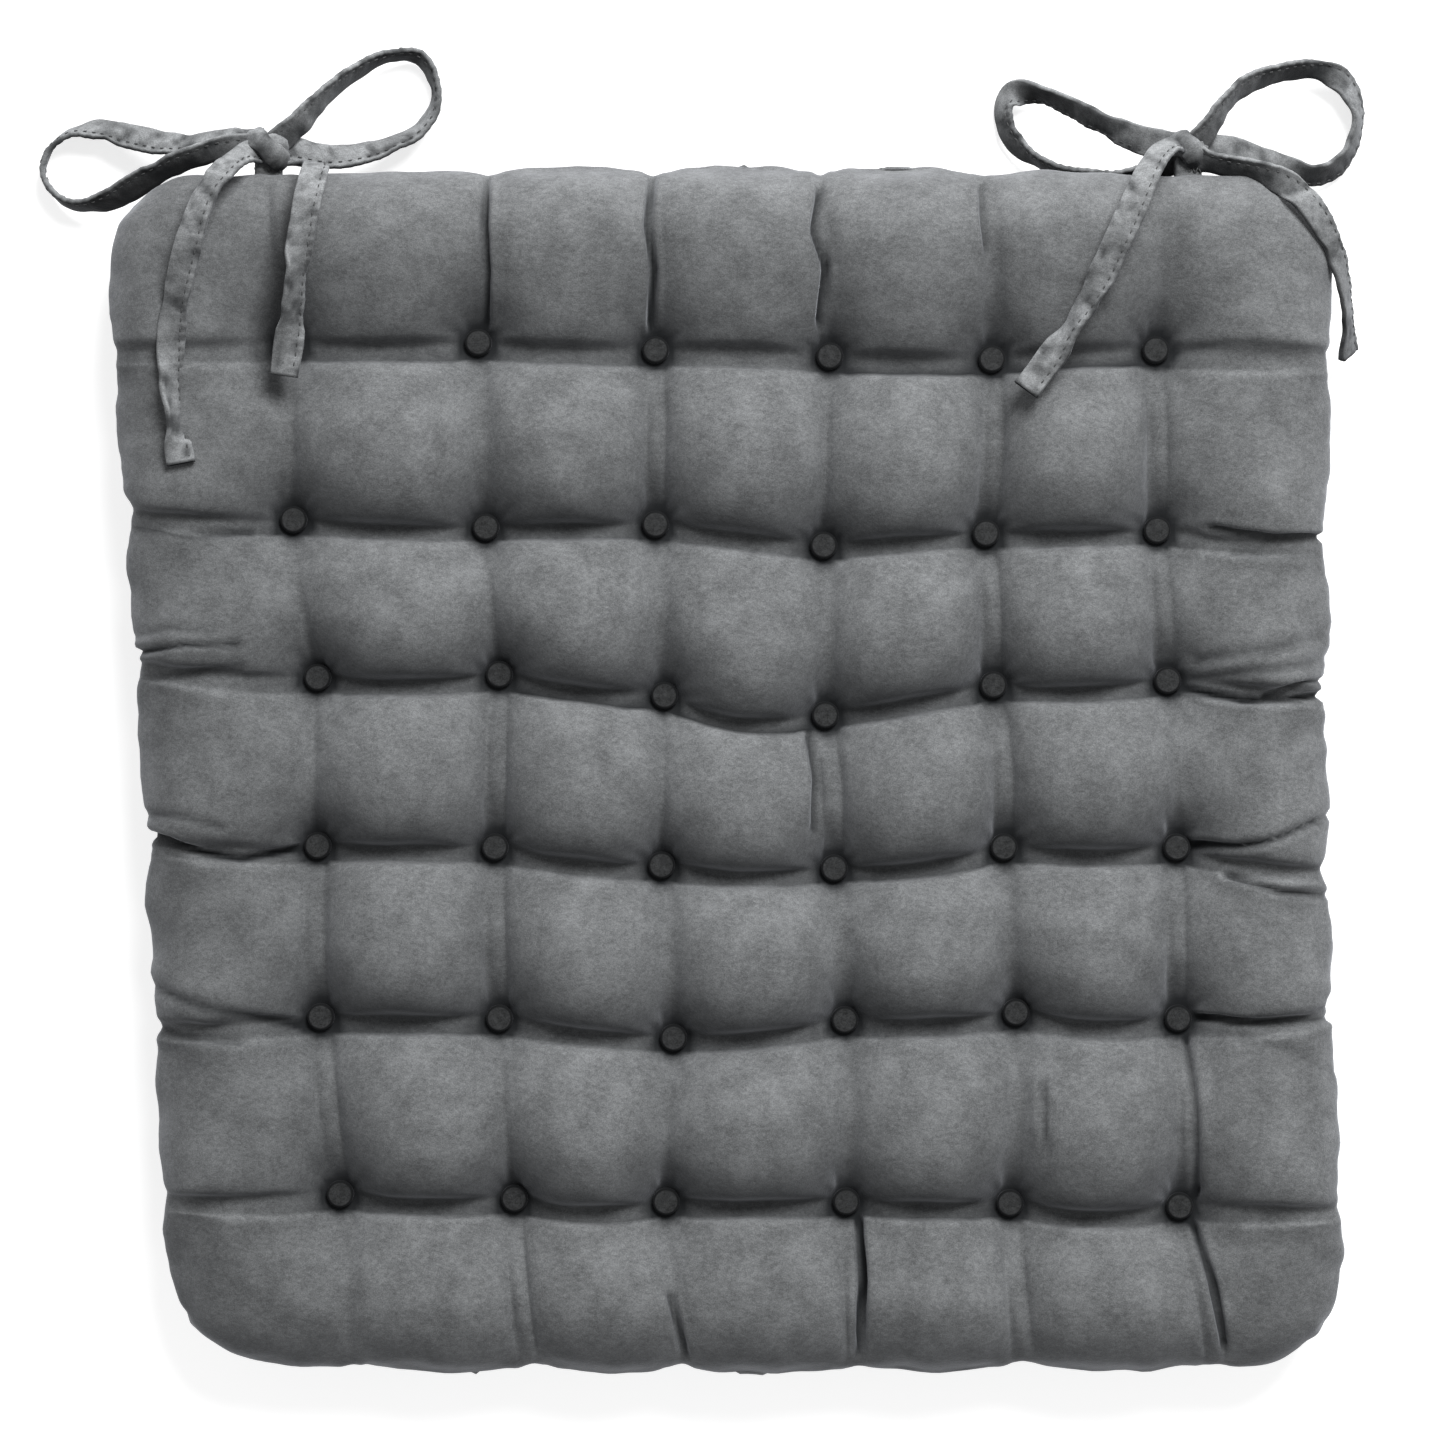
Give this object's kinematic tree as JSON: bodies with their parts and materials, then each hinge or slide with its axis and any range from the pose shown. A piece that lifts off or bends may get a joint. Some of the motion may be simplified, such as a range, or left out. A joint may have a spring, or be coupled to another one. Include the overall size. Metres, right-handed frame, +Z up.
{
  "type": "chair seat pad",
  "caption": "Square button-tufted chair seat pad in brushed charcoal microsuede, with fabric ties knotted in bows at the two back corners.",
  "frame": {"origin": "on the surface the pad lies on, under the middle of the pad without its ties", "axes": "+Z up through the thickness, +Y towards the back edge where the ties are, +X along the back edge, to the right when seen from above with the back edge away"},
  "size_m": [0.4506, 0.4432, 0.06],
  "materials": {
    "cover_top": "matte",
    "cover_under": "matte",
    "button_fabric": "matte",
    "tie_fabric": "matte",
    "button_core": "matte",
    "thread": "matte",
    "fibre": "matte"
  },
  "bodies": {
    "root": {"bottom_button_cores_row_1": "button_core", "bottom_button_cores_row_2": "button_core", "bottom_button_cores_row_3": "button_core", "bottom_button_cores_row_4": "button_core", "bottom_button_cores_row_5": "button_core", "bottom_button_cores_row_6": "button_core", "bottom_button_covers_row_1": "button_fabric", "bottom_button_covers_row_2": "button_fabric", "bottom_button_covers_row_3": "button_fabric", "bottom_button_covers_row_4": "button_fabric", "bottom_button_covers_row_5": "button_fabric", "bottom_button_covers_row_6": "button_fabric", "bottom_panel": "cover_under", "filling": "fibre", "left_bow_knot": "tie_fabric", "left_tie_inner_loop": "tie_fabric", "left_tie_inner_tail": "tie_fabric", "left_tie_outer_loop": "tie_fabric", "left_tie_outer_tail": "tie_fabric", "left_tie_root": "tie_fabric", "right_bow_knot": "tie_fabric", "right_tie_inner_loop": "tie_fabric", "right_tie_inner_tail": "tie_fabric", "right_tie_outer_loop": "tie_fabric", "right_tie_outer_tail": "tie_fabric", "right_tie_root": "tie_fabric", "seam_stitching": "thread", "tie_bar_tacks": "thread", "top_button_cores_row_1": "button_core", "top_button_cores_row_2": "button_core", "top_button_cores_row_3": "button_core", "top_button_cores_row_4": "button_core", "top_button_cores_row_5": "button_core", "top_button_cores_row_6": "button_core", "top_button_covers_row_1": "button_fabric", "top_button_covers_row_2": "button_fabric", "top_button_covers_row_3": "button_fabric", "top_button_covers_row_4": "button_fabric", "top_button_covers_row_5": "button_fabric", "top_button_covers_row_6": "button_fabric", "top_panel": "cover_top", "tuft_threads_row_1": "thread", "tuft_threads_row_2": "thread", "tuft_threads_row_3": "thread", "tuft_threads_row_4": "thread", "tuft_threads_row_5": "thread", "tuft_threads_row_6": "thread"}
  },
  "joints": []
}
